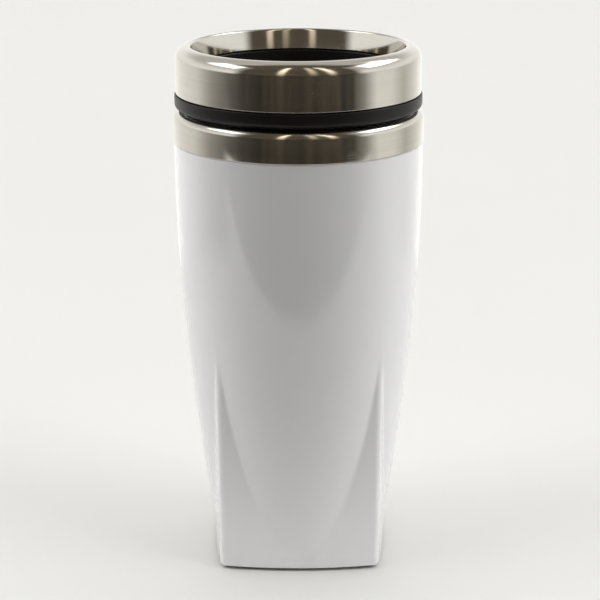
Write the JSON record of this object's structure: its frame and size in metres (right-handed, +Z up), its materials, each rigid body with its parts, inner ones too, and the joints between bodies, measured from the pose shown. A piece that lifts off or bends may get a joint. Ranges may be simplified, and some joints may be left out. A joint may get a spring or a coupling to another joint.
{
  "type": "insulated travel mug",
  "caption": "Travel mug: steel cup in a glossy shell that turns from a round top to a square foot, with a steel collar and a push-on lid whose slider opens the drinking hole.",
  "frame": {"origin": "under the middle of the square foot, on the surface that the mug stands on", "axes": "+Z up along the mug's axis; the drinking hole is on the -Y side of the lid, and the slider opens towards +Y; the foot's faces look along X and Y"},
  "size_m": [0.084, 0.084, 0.1772],
  "materials": {
    "white_plastic": "smooth, glossy",
    "black_plastic": "satin",
    "collar_steel": "satin, fine lines round the band",
    "lid_steel": "polished, fine wear",
    "liner_steel": "satin, drawn",
    "silicone": "soft, matt",
    "foot_rubber": "matt"
  },
  "bodies": {
    "mug": {"outer_shell": "white_plastic", "steel_collar": "collar_steel", "inner_liner": "liner_steel", "liner_seal": "silicone", "base_cap": "white_plastic", "base_pad": "foot_rubber"},
    "lid": {"lid_body": "black_plastic", "lid_ring": "lid_steel", "lid_gasket": "silicone"},
    "slider": {"slide_button": "black_plastic", "slide_clip": "black_plastic", "slide_seal": "silicone"}
  },
  "joints": [
    {"name": "lid_lift", "type": "slide", "parent": "mug", "child": "lid", "axis": [0, 0, 1], "range_m": [0, 0.05]},
    {"name": "slider", "type": "slide", "parent": "lid", "child": "slider", "axis": [0, 1, 0], "range_m": [0, 0.0145]}
  ]
}
